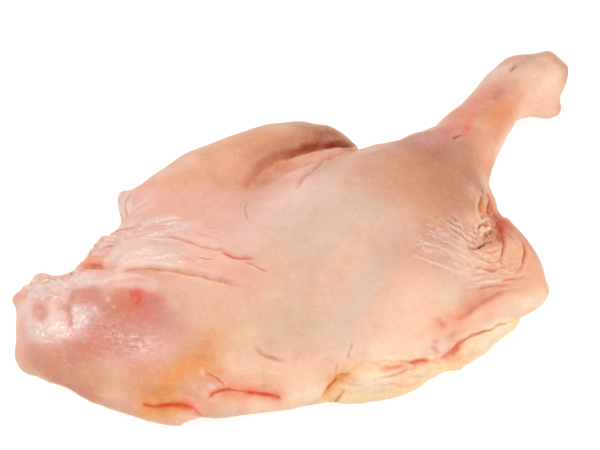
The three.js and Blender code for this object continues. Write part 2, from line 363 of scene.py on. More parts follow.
CREASES = marks(Crease, [
    # The lobe rolls under behind the calf's lip, and the lip has a second, softer crease; the brown of the
    # first two is painted shade under the lobe
    ("284,160 303,153 322,149 338,146 350,146 362,148", 1, 0.6, 0.3, -0.6, RUST, 0.8, 3, 0.3, 3),
    ("244,188 254,176 267,166 284,158 303,152 322,148", 0.5, 0.9, 0.3, -0.4, UMBER, 0.35, 2.4, 0.4, 2.5),
    ("296,190 304,178 316,167 330,158 345,152", 0.5, 0.8, 0.3, -0.3, SALMON, 0.4, 1.5, 0.4, 2),
    ("248,200 245,206 245,214 248,221", 0.3, 0.6, 0.35, 0, SALMON, 0.25),
    # The lobe's left end, with painted highlights on its pale ridges
    ("126,190 121,198 120,207 123,217", -0.7, 0.8, 0, 0, PALE, 0.5, 0, 0.3),
    ("130,192 126,200 125,210 126,219", 0.7, 0.6, 0.2, 0, SALMON, 0.5, 0.8, 0.3),
    ("127,216 136,207 147,198", -0.5, 0.6, 0, 0, PALE, 0.6, 0, 0.3),
    ("133,216 143,209 155,204", -0.4, 0.6, 0, 0, PALE, 0.4, 0, 0.3),
    # The thigh's two long creases, and the glossy lip below the first, whose pale colour is a painted
    # highlight
    ("122,271 140,268 158,269 180,273 205,278 226,283 246,289",
     0.38, 0.5, 0.25, -0.5, UMBER, 0.45, 1.4, 0.4, 2.5),
    ("97,282 108,278 122,275 138,275 154,278", -0.5, 1, 0, 0, BLUSH, 0.2),
    ("158,236 175,238 193,244 200,246", 0.25, 0.4, 0.2, -0.2, SALMON, 0.4, 0.9, 0.5, 2),
    ("197,246 210,249 224,249", 0.2, 0.4, 0.15, -0.1, SALMON, 0.35, 0.9, 0.5, 2),
    ("219,251 231,257 241,259 254,258", 0.38, 0.5, 0.2, -0.3, CORAL, 0.5, 0.9, 0.5, 2),
    ("243,262 254,266 267,271", 0.3, 0.45, 0.2, 0, SALMON, 0.35),
    ("198,256 205,258 213,259", 0.3, 0.45, 0.2, 0, SALMON, 0.4),
    # Crests of the far thigh's thin folds, pale with painted highlights
    ("106,260 118,248 136,240 158,239 178,243", -0.35, 0.5, 0, 0, PALE, 0.5, 0, 0.8),
    ("113,265 126,255 145,248 166,247", -0.3, 0.5, 0, 0, PALE, 0.4, 0, 0.8),
    ("145,222 160,219 175,216", -0.4, 0.5, 0, 0, PALE, 0.5, 0, 0.6),
    # The torn lips of the left edge, one above the other, with grooves between them
    ("80,266 92,268 107,269", 0.45, 0.6, 0.5, 0.6, EMBER, 0.2, 1),
    ("84,259 94,259 106,257", 0.4, 0.5, 0.4, 0.3, SHRIMP, 0.3, 0.8),
    ("90,251 100,250 114,246", 0.8, 0.5, 0.5, 0.4, CORAL, 0.5, 0.8),
    ("95,245 106,242 120,239", 0.7, 0.5, 0.5, 0.3, SALMON, 0.5, 0.8),
    ("101,238 112,236 126,233", 0.7, 0.5, 0.5, 0.3, CORAL, 0.4, 0.8),
    ("109,231 120,229 136,226", 0.6, 0.5, 0.4, 0.2, SALMON, 0.5, 0.8),
    # A dent in the left end
    ("66,304 69,313 71,327", 0.35, 0.8, 0.2, 0, SALMON, 0.3, 0.8, 0.6, 1.6),
    # Slits in the near edge
    ("142,403 152,406 166,405 179,405 189,407 196,411 201,415",
     0.4, 0.45, 0.35, 0.5, EMBER, 0.3, 1.6, 0.4),
    ("209,397 214,392 227,389 237,390 251,392 266,394 277,395 283,399",
     0.4, 0.4, 0.35, 0.5, CORAL, 0.36, 1.8, 0.4),
    ("205,372 214,377 221,382 226,388", 0.25, 0.4, 0.3, 0.2, CORAL, 0.25, 0.6),
    ("253,344 257,350 263,355 271,358 285,360", 0.35, 0.8, 0.3, 0.2, SALMON, 0.3, 1.4),
    # The skin's edge over the fat
    ("321,398 326,389 332,381 338,375 346,373 354,367 363,360", 0.6, 0.7, 0.3, 0.7, OCHRE, 0.25, 0.5, 0.8),
    ("362,360 371,362 385,361 398,360 410,362 419,360 432,359 446,356",
     0.35, 0.6, 0.3, 0.6, SHRIMP, 0.15, 0.5, 0.9),
    ("440,358 450,351 459,342 474,335 492,328 514,319", 0.8, 0.6, 0.3, 0.8, CORAL, 0.35, 0.5, 0.7),
    ("336,402 339,396 343,391", 0.4, 0.7, 0.3, 0, OCHRE, 0.3, 1),
    ("372,380 388,376 402,371 416,367", 0.25, 0.5, 0.2, 0.2, APRICOT, 0.3),
    ("352,342 349,350 349,359", 0.4, 0.6, 0.25, 0, UMBER, 0.3, 0.8),
    ("337,362 336,369 334,376", 0.3, 0.6, 0.3, 0, UMBER, 0.3),
    # The gather behind the knee: a leaf of upright folds with painted highlights on its crests, a ring below
    # it, and the crevice under the pleats, with painted shade in the dark grooves
    ("483,190 484,199 482,208 485,217", -0.8, 0.6, 0, 0, CREAM, 0.5, 0, 0.4),
    ("478,196 475,206 477,216 481,223", -0.6, 0.6, 0, 0, CREAM, 0.5, 0, 0.4),
    ("489,188 493,198 492,209 488,217", -0.6, 0.6, 0, 0, APRICOT, 0.5, 0, 0.4),
    ("481,196 479,204 479,212", 0.9, 0.6, 0.3, 0, OCHRE, 0.5, 0.8),
    ("487,192 488,201 486,208 488,213", 0.9, 0.6, 0.3, 0, EMBER, 0.5, 0.8),
    ("485,212 489,215", 0.7, 0.8, 0.2, 0, RUST, 0.5, 0.8),
    ("478,224 484,220 490,221 493,227", -0.7, 0.6, 0, 0, CREAM, 0.5, 0, 0.4),
    ("476,229 482,225 488,226", 0.6, 0.5, 0.3, 0, UMBER, 0.5, 0.5),
    ("480,241 479,236 483,231 489,229 494,232 494,238 489,241", -0.8, 0.6, 0, 0, CREAM, 0.4, 0, 0.4),
    ("483,239 486,235 491,234", 0.8, 0.7, 0.2, 0, RUST, 0.6, 0.8),
    ("466,247 473,249 481,246 488,243 495,240", 0.35, 0.5, 0.4, 0.4, SIENNA, 0.5, 0.8, 0.4),
    ("471,228 474,236 476,243", 0.5, 0.5, 0.4, 0, UMBER, 0.4, 0.5),
    # The flap's folded layers, each lying on the next, with painted shade on the layer beneath each edge
    ("493,216 497,225 501,237 502,246 500,258 501,266", 0.5, 0.45, 0.35, -0.5, SALMON, 0.38, 1, 0.4, 2),
    ("521,239 523,249 522,261 518,270", 0.32, 0.45, 0.45, -0.4, SALMON, 0.38, 1.2, 0.4, 2),
    ("484,251 491,252 499,250", 0.5, 0.45, 0.3, 0.2, SALMON, 0.5, 0.8),
    ("486,261 494,262 501,259", 0.5, 0.45, 0.3, 0.2, SALMON, 0.5, 0.8),
    ("470,270 481,268 493,270 506,266", 0.5, 0.5, 0.3, 0.2, SALMON, 0.5, 0.8),
    ("498,282 510,279 526,277", 0.4, 0.45, 0.25, 0.3, SALMON, 0.45, 0.8),
    ("476,290 490,286 506,285", 0.4, 0.5, 0.3, 0, SALMON, 0.35),
    ("456,321 470,310 483,301 496,294 514,288", 0.4, 1.2, 0.4, 0.3, SALMON, 0.4, 2, 0.4, 2),
    # Pleats that fan out of the gather, with pale crests that are painted highlights
    ("437,218 448,224 458,232 468,239 478,245", -0.6, 0.45, 0, 0, BUTTER, 0.3, 0, 0.9),
    ("447,228 455,235 463,241 472,246", -0.7, 0.45, 0, 0, BUTTER, 0.3, 0, 0.9),
    ("452,222 461,228 470,234 476,240", -0.6, 0.45, 0, 0, BUTTER, 0.3, 0, 0.9),
    ("414,243 428,244 440,247 452,253 466,257", -0.6, 0.45, 0, 0, BUTTER, 0.3, 0, 0.9),
    ("410,255 424,259 440,265 455,272 474,276", -0.5, 0.5, 0, 0, BUTTER, 0.3, 0, 0.9),
    ("452,261 463,267 474,270", -0.4, 0.45, 0, 0, BUTTER, 0.3, 0, 0.9),
    ("468,256 480,261 494,267", -0.6, 0.45, 0, 0, BUTTER, 0.3, 0, 0.9),
    ("474,284 486,282 502,280", -0.5, 0.45, 0, 0, BUTTER, 0.3, 0, 0.9),
    ("472,277 486,275 502,272 516,272", -0.4, 0.45, 0, 0, BUTTER, 0.3, 0, 0.9),
    # The shank's fold and the knuckle's dent
    ("452,139 457,136 462,134", 0.6, 0.6, 0.3, 0, BROWN, 0.7),
    ("508,72 512,68 517,64", 0.7, 0.9, 0.3, 0, BROWN, 0.5, 1),
])

WRINKLES = marks(Wrinkles, [
    # Far thigh
    ("92,250 115,238 145,230 180,228 225,240", 8, 3, 0.45, 7, -1),
    ("110,262 140,254 175,253 215,262", 6, 2.6, 0.3, 8, -1),
    # Left end
    ("20,300 36,279 58,276 80,266 96,244 118,226", 5, 3, 1, 1, -1),
    ("24,296 44,284 70,277 96,270", 5, 1.8, 0.25, 1.5),
    ("25,325 45,322 70,316 95,305", 10, 4.5, 0.35, 1.5, -1),
    ("84,326 105,332 130,344 158,350", 8, 2.4, 0.4, 2),
    # Pleats
    ("425,226 445,236 468,250 488,262", 11, 2.4, 0.4, 8),
    ("460,284 480,279 505,276 530,270", 9, 2.6, 0.35, 7),
    ("482,188 486,204 488,220 487,234", 6, 2, 0.9, 2),
    ("446,219 466,234 486,247", 7, 1.7, 0.7, 4),
    ("470,226 480,236 490,246", 6, 1.6, 0.6, 2),
    ("478,254 496,260 512,268", 6, 2, 0.55, 3, -1),
    ("508,226 518,240 532,262", 7, 3.4, 0.4, 5, -1),
    # Fat
    ("330,393 370,388 410,376 445,363", 7, 3.2, 0.55, 2.5, -1),
    ("460,360 480,350 508,330", 6, 3.4, 0.35, 2.5, -1),
    ("432,347 444,338 454,330", 4, 2, 0.15, 1.5),
])

LUMPS = marks(Lump, [
    # The left end's tab, corners and hollows
    ("24,292 17,299", 2.5, 2.2),
    ("36,278 40,275 48,274", 3, 1.6),
    ("56,270 66,264 74,258", 6, -2.9),
    ("60,276", 2, 1),
    ("80,265 88,261 103,263", 2, 2),
    ("88,253 99,254 112,252", 1.8, 1.2),
    ("95,245 107,245 122,242", 1.6, 1.2),
    ("98,239 110,237 126,234", 1.6, 1),
    ("116,213 115,219 113,226", 4, -2.6),
    ("14,312 13,335", 5, -0.3),
    ("16,358 20,368", 4, 1.4),
    ("36,378 52,386 66,392", 5, -1.3),
    ("46,330", 9, 0.8),
    ("82,316", 7, 0.8),
    ("39,308 42,314", 3, -0.6),
    ("61,303 66,309", 3, -0.5),
    ("110,300 95,310", 6, -0.6),
    # The near edge, with a step in it
    ("95,398 120,407 150,416 168,420", 5, 1.3),
    ("191,425 204,423", 2.8, -2.5),
    ("180,427", 2.2, 0.9),
    ("230,409 255,408 285,405", 5, 1.6),
    # The fat's loose pieces
    ("346,399 360,399", 3, 1.2),
    ("430,384 440,380 448,374", 4, -1.6),
    ("404,389 418,382", 4, 0.9),
    ("454,369 458,368", 2.2, 1.2),
    ("472,360 480,354", 3, 0.5),
    ("325,398", 3, -0.8),
    ("496,349 506,340", 3.5, -0.9),
    ("519,325", 3, 0.9),
    # The flap
    ("548,291", 3, 0.8),
    ("528,232 541,252 549,274", 7, -0.7),
    ("491,192 495,203", 3, 0.9),
    ("498,208 500,213", 2.6, -3.2),
    ("505,216", 2.5, 1),
    ("526,241", 2, -0.8),
    # The lobe
    ("119,211 119,203 122,193", 3, 1.3),
    ("131,184 139,180", 4, -1),
    ("320,120 332,124 340,130", 5, -1),
    ("275,121 298,119", 7, 0.9),
    ("170,163 185,156 195,151", 8, -0.9),
    # The calf's far side and its notch to the lobe
    ("398,133 412,127 428,119", 7, -2.3),
    ("359,146 372,145", 4, 1),
    # The shank and the knuckle's corners
    ("502,158 499,166 497,175 495,186", 5, -2.3),
    ("514,124 511,129", 2.2, 0.8),
    ("518,122 526,121 534,121", 2.5, -3),
    ("498,58 514,51 530,49", 7, -1),
    ("569,68", 4, 1),
    ("549,49", 3, 0.9),
    ("565,88", 4, 0.6),
    ("561,99", 2.5, -0.6),
    ("561,110", 4, 1.2),
    ("535,90 545,84", 6, -0.7),
])

STROKES = marks(Stroke, [
    # Lobe
    ("150,195 195,175 240,158 285,143", 15, TAN, 0.9),
    ("158,192 195,186 236,182", 8, TAN, 0.6),
    ("258,160 276,150 300,142", 6.5, UMBER, 0.9),
    ("274,178 284,172", 2.4, BLUSH, 0.6),
    ("280,166 292,161", 2.6, UMBER, 0.85),
    ("218,187 240,184 260,180", 4.5, UMBER, 0.6),
    ("266,156 278,150 292,147", 6, BROWN, 0.45),
    ("250,140 280,129 300,127 330,130", 5, UMBER, 0.4),
    ("276,128 296,125 314,126", 3.5, GREY, 0.6),
    ("304,128 325,131 340,136", 5, BROWN),
    # Painted shade on the lobe's side of its crease, where it rolls under
    ("290,157 322,148 345,147", 4, RUST, 0.8, 0.6, 1),
    ("322,139 334,139 344,144", 5, RUST, 0.62),
    ("130,200 165,205 205,200 235,205", 9, BLUSH, 0.8),
    ("126,200 132,214 144,198", 5, PALE, 0.6),
    ("123,202 127,210", 3.8, PEARL, 0.9),
    # Painted shade where the lobe rolls under its crease
    ("280,159 300,150 328,145", 4.5, RUST, 0.5, 0.6, 1),
    # Far thigh; its PEARL and PALE strokes are a painted wet sheen and painted highlights on its folds and
    # torn lips
    ("100,248 140,230 190,230 230,238", 8, BLUSH, 0.6),
    ("108,246 130,246 150,242", 7, PALE, 0.75),
    ("170,247 190,242", 6, PALE, 0.5),
    ("204,228 236,225", 8, ROSE, 0.4),
    ("200,267 225,272 246,277", 6, ROSE, 0.35),
    ("120,257 142,252 162,250", 6, PEARL, 0.6),
    ("158,243 172,246", 3.5, ASH, 0.5),
    ("144,263 164,266", 3, PALE, 0.8),
    ("176,227 194,224", 3.4, PALE, 0.6),
    ("144,223 158,219 176,218", 1.6, PEARL),
    ("122,227 134,222", 2.4, PALE, 0.6),
    ("128,277 158,277", 2.2, UMBER, 0.3),
    ("110,237 120,233", 2.4, PEARL, 0.5),
    ("92,253 100,254 112,252", 2.2, SALMON, 0.4),
    ("84,261 93,263 101,264", 2.2, SHRIMP),
    ("96,244 108,243 122,240", 1.6, PALE),
    ("110,243 119,243", 1.2, SALMON, 0.6),
    ("99,238 112,236 126,233", 1.6, PALE),
    ("114,256 117,252", 1.6, PEARL, 0.8),
    # Below the lobe's crease
    ("256,222 282,206 312,188", 12, PALE, 0.65),
    ("258,194 276,186 296,176", 6, BLUSH, 0.6),
    ("290,165 312,158 335,151", 3, BLUSH),
    # Skin towards the near right
    ("360,320 390,305 430,295 460,290", 14, CREAM, 0.5),
    ("345,352 380,345 418,337", 9, CREAM, 0.8),
    ("440,328 450,324 462,316", 5, SHRIMP, 0.4),
    ("420,306 436,304", 8, CREAM, 0.6),
    ("448,296 460,292", 4, BUTTER, 0.6),
    ("428,350 444,343", 5, CREAM, 0.6),
    ("375,352 400,350 422,349", 4, BUTTER, 0.3),
    ("230,370 265,375 300,380", 8, CREAM, 0.6),
    ("250,406 280,402 305,394", 4, CREAM, 0.6),
    ("298,394 314,389", 5, BUTTER),
    # Calf
    ("300,232 335,212 370,196", 14, GREY, 0.8),
    ("318,170 345,169 376,171", 8, GREY, 0.55),
    ("320,258 295,300 278,328", 8, GREY, 0.4),
    # A painted shadow band running down the calf
    ("392,232 383,260 358,296 342,332", 9, GREY, 0.68),
    ("250,326 272,322 302,324", 9, SAGE, 0.8),
    ("370,168 415,178 450,200 440,228", 16, DUSK, 0.85),
    ("365,156 400,146 420,140", 6, ASH, 0.8),
    ("366,156 384,153", 3.5, UMBER, 0.4),
    ("425,146 448,160 466,178", 13, BROWN, 0.9),
    ("412,186 436,196 454,192", 10, UMBER, 0.75),
    ("436,176 450,188", 8, BROWN, 0.5),
    ("430,143 448,141 466,147", 7, BROWN, 0.6),
    ("424,138 442,133", 4.5, LILAC, 0.9),
    ("385,250 420,250 450,246", 9, DUSK, 0.4),
    ("445,258 462,285 448,300", 6, GREY, 0.4),
    # Shank and knuckle
    ("445,128 475,102 492,86", 7, SALMON),
    ("452,138 470,128", 5, MADDER, 0.45),
    ("484,165 492,140 508,112", 6, SHRIMP, 0.6),
    ("497,152 503,142 514,126", 2.5, CREAM, 0.6),
    ("463,132 468,122 474,113", 2, CORAL, 0.45),
    # A painted highlight along the knuckle's top
    ("480,84 496,74 512,66", 6, PALE, 0.5),
    ("484,112 494,100 500,92", 4, LILAC, 0.5),
    ("495,97 499,92", 2.2, MADDER, 0.6),
    ("505,88 518,80 528,74", 4, DUSK, 0.5),
    ("488,116 504,108", 5, AMBER, 0.5),
    ("512,106 520,96", 3.5, SHRIMP, 0.5),
    ("535,72 548,80 540,92", 7, CREAM),
    ("522,113 536,107 552,108", 5, CREAM, 0.75),
    ("506,60 514,57 530,54 550,54", 3, DUSK),
    ("514,66 522,61 532,57", 2.2, BROWN, 0.4),
    ("556,60 565,68 564,78", 2, BROWN, 0.4),
    ("559,104 558,111", 2, CORAL, 0.5),
    # Flap
    ("497,215 510,228 522,243", 6, SALMON, 0.85),
    ("505,238 514,246 510,262", 7, APRICOT, 0.9),
    # The next two strokes are painted shade under the gather's lip on the flap's first layer
    ("497,217 501,226", 2, BLOOD, 0.85),
    ("498,219 500,228 501,236", 2.4, RUST, 0.8),
    ("472,221 479,229", 4, CREAM, 0.6),
    ("472,190 477,200", 3, PEACH),
    ("508,226 514,234", 3.5, MADDER, 0.6),
    ("486,194 491,206", 2, CORAL, 0.6),
    ("480,205 484,214", 2, AMBER, 0.6),
    ("488,211 492,215", 1.5, RUST, 0.6),
    ("524,246 530,256", 2.5, CORAL, 0.5),
    ("466,254 484,258 500,262", 6, CREAM, 0.75),
    ("505,264 530,268 540,280", 9, APRICOT, 0.85),
    ("509,263 520,267", 3, TAN, 0.6),
    ("470,300 500,290 525,285", 5, TAN),
    ("466,299 480,293", 4, DUSK, 0.6),
    ("456,320 472,308 490,298", 4, SHRIMP, 0.55),
    ("480,322 510,308 540,294", 4, CREAM, 0.9),
    ("478,327 490,322", 3, BUTTER, 0.6),
    ("528,304 540,304", 4, BUTTER, 0.6),
    # Fat, below the skin's edge
    ("320,399 332,381 346,373 363,360 398,360 446,356", 14, FAT, 0.95, 0.3, -1),
    ("440,358 459,342 474,335 492,328 514,319", 12, FAT, 0.95, 0.3, -1),
    ("360,376 376,374 404,372", 4, BUTTER),
    ("345,394 365,392 390,390", 4, BUTTER, 0.6),
    ("375,394 400,386 425,372", 2.5, AMBER, 0.25),
    ("484,346 498,336", 3, BUTTER, 0.6),
    ("490,327 508,324", 2.6, BUTTER),
    ("458,337 468,332", 3, CREAM, 0.6),
    ("436,347 447,345", 3, PALE, 0.6),
    ("382,368 392,367 402,366", 1.6, SHRIMP, 0.7, 1),
    ("402,366 409,361 415,363 424,360", 1.4, SHRIMP, 0.7, 1),
    ("434,361 443,357 452,352", 1.6, CORAL, 0.35, 1),
    ("446,356 453,350 460,342", 1.4, EMBER, 0.8, 1),
    ("455,338 470,328 490,318", 3, SALMON, 0.35),
    ("323,394 332,382 342,376", 3.2, OCHRE, 0.75, 0.6, -1),
    ("336,400 342,393", 2, OCHRE, 0.6),
    ("344,397 370,397 400,390 425,379", 3, FAT, 0.8),
    ("396,377 412,373", 3, APRICOT, 0.5),
    # Left end; its PEARL and PALE strokes are a pale membrane under a painted wet sheen
    ("25,300 50,300 90,280", 9, PALE, 0.6),
    ("26,296 48,287 70,279 84,276", 6, PALE, 0.7, 1.2),
    ("36,329 48,332 60,322 84,312", 5.5, PEARL, 0.7, 1, 0, 3),
    ("68,309 80,314 94,316", 4, PEARL),
    ("27,296 42,289", 3.5, PALE, 0.6),
    ("33,280 40,283", 2.6, PEARL),
    ("46,281 58,283", 2.2, PEARL, 0.6),
    ("84,282 100,280", 1.8, PEARL, 0.3),
    ("44,287 47,289", 1.6, SALMON, 0.45),
    ("57,296 60,294", 1.8, SALMON, 0.4),
    ("32,298 34,301", 1.8, SALMON, 0.4),
    ("69,287 73,285", 1.8, SALMON, 0.35),
    ("20,328 24,356", 5, BLUSH),
    ("90,318 102,320", 2.6, PALE, 0.4),
    ("100,313 120,313 145,312 166,318", 9, MADDER, 0.75),
    ("98,330 120,332 148,332 172,330", 8, MADDER),
    ("38,359 52,366 70,376 96,392", 8, MADDER, 0.55),
    ("45,376 70,388 94,397", 3, UMBER, 0.6),
    ("66,352 90,346 125,350 150,360", 8, ROSE),
    ("76,346 98,344 118,351", 5, MADDER, 0.85, 1),
    ("72,360 92,362 110,372", 5, SAGE, 0.5, 1),
    ("122,300 138,299 154,307", 5.5, SALMON, 0.9, 0.8, 0, 6),
    ("126,306 142,304", 4, MUSCLE, 0.25, 0.8),
    ("136,293 139,300", 2.6, MUSCLE, 0.8, 0.8, 0, 5),
    ("150,304 158,315", 4, MADDER, 0.9, 0.8, 0, 5),
    ("118,282 136,283 151,286", 2.2, PALE, 0.6, 0.6, 0, 3),
    ("76,297 92,293", 3.5, MADDER, 0.7, 1, 0, 4),
    ("36,308 42,314", 2.6, SALMON, 0.6, 0.8, 0, 4),
    ("88,300 102,302 112,311", 5, DUSK, 0.75),
    ("92,305 104,304 116,306", 3, MADDER, 0.6),
    ("78,297 90,295", 3.5, MADDER, 0.6, 1, 0, 4),
    ("100,322 120,325 135,328", 5, MADDER, 0.5),
    ("72,358 88,355 100,350", 4.5, MADDER, 0.6),
    ("40,362 54,366 72,372 90,378", 6, UMBER, 0.5),
    ("128,372 145,376 150,366", 5, TAN, 0.6),
    ("60,303 66,308", 2.4, SALMON, 0.6),
    ("68,308 70,322", 1.2, SALMON, 0.5),
    ("150,342 178,352", 7, BLUSH, 0.6),
    ("108,356 122,358", 3.4, BLUSH, 0.5),
    ("94,341 112,346", 3, SALMON, 0.5),
    ("138,375 150,372", 4, UMBER, 0.4),
    ("88,376 115,386 140,398", 5, TAN, 0.5),
    # Near left
    ("158,394 170,380 186,368 202,358", 6, AMBER, 0.7, 0.9),
    ("180,350 194,350 206,347", 6, UMBER, 0.45, 0.9),
    ("205,374 214,370", 4, AMBER, 0.45, 0.9),
    ("186,356 200,354", 3, AMBER, 0.35, 0.9),
    ("190,330 213,304 235,298", 9, PEACH, 0.8),
    ("200,338 218,334 234,332", 5, AMBER, 0.25, 0.9),
    ("148,402 162,400 176,402", 3, AMBER, 0.45),
    ("146,409 160,411 174,411", 3, OCHRE, 0.5),
    ("98,404 130,414 165,420 188,416", 3, CREAM, 0.5),
    ("226,390 242,391 258,392 276,394", 3.5, SHRIMP),
    ("248,391 262,392 274,395", 2, CORAL, 0.5),
    ("256,405 280,406 302,401", 3, CREAM, 0.9),
])
